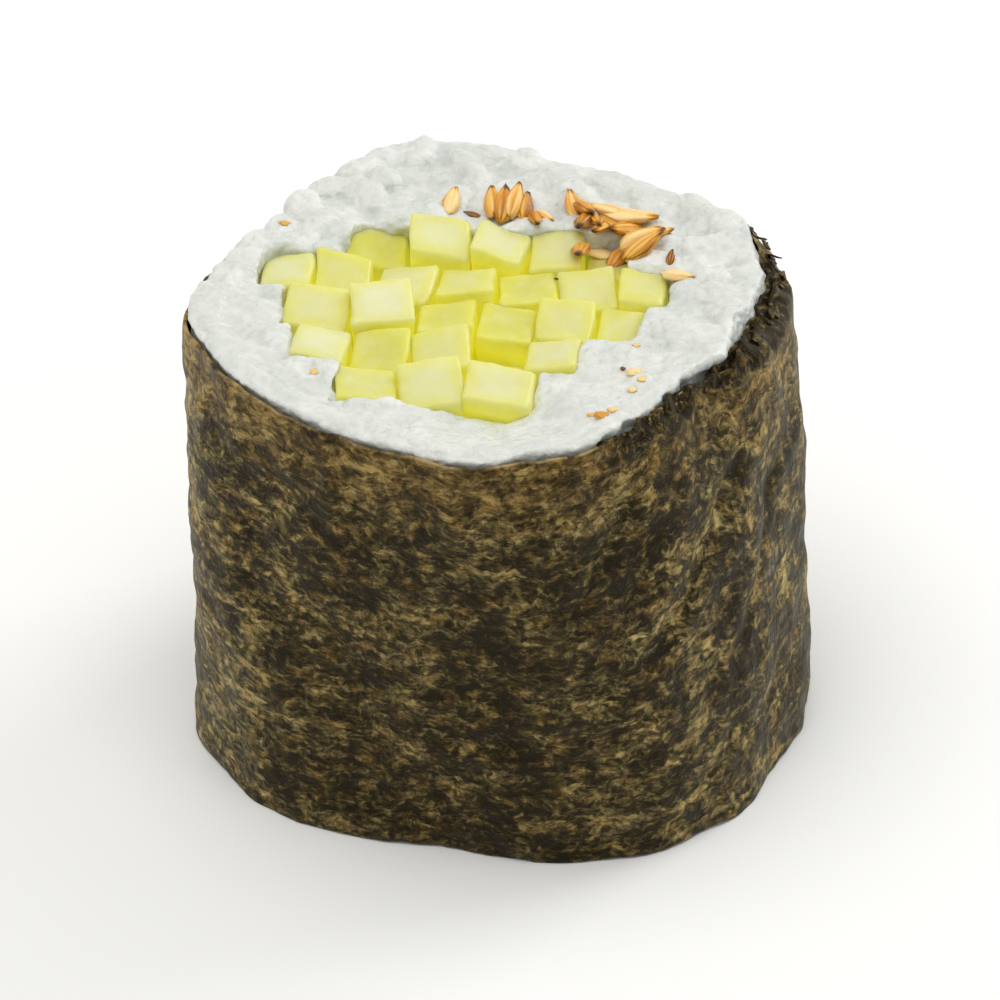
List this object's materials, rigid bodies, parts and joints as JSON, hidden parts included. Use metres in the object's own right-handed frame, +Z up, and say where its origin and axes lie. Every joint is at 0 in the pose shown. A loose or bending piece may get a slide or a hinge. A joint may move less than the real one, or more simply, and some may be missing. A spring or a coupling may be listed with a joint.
{
  "type": "cucumber maki roll",
  "caption": "Bite-size maki piece standing on its cut face: a nori wrap with an overlapping seam, sushi rice and a packed bundle of square cucumber sticks.",
  "frame": {"origin": "middle of the footprint of the whole piece, on the surface it stands on", "axes": "+Z up along the roll's axis from the lower cut face to the upper one; +X to the right and +Y away from the shown side"},
  "size_m": [0.033, 0.0316, 0.0258],
  "materials": {
    "nori": "roasted seaweed sheet, dark olive brown, semi-matt with a silvery sheen at grazing angles",
    "rice": "cooked short-grain rice, white, translucent and slightly wet",
    "cucumber": "cut cucumber flesh, pale yellow-green, wet"
  },
  "bodies": {
    "root": {"nori_wrap": "nori", "rice": "rice", "cucumber_01": "cucumber", "cucumber_02": "cucumber", "cucumber_03": "cucumber", "cucumber_04": "cucumber", "cucumber_05": "cucumber", "cucumber_06": "cucumber", "cucumber_07": "cucumber", "cucumber_08": "cucumber", "cucumber_09": "cucumber", "cucumber_10": "cucumber", "cucumber_11": "cucumber", "cucumber_12": "cucumber", "cucumber_13": "cucumber", "cucumber_14": "cucumber", "cucumber_15": "cucumber", "cucumber_16": "cucumber", "cucumber_17": "cucumber", "cucumber_18": "cucumber", "cucumber_19": "cucumber", "cucumber_20": "cucumber", "cucumber_21": "cucumber", "cucumber_22": "cucumber", "cucumber_23": "cucumber", "cucumber_24": "cucumber", "cucumber_25": "cucumber", "cucumber_26": "cucumber"}
  },
  "joints": []
}
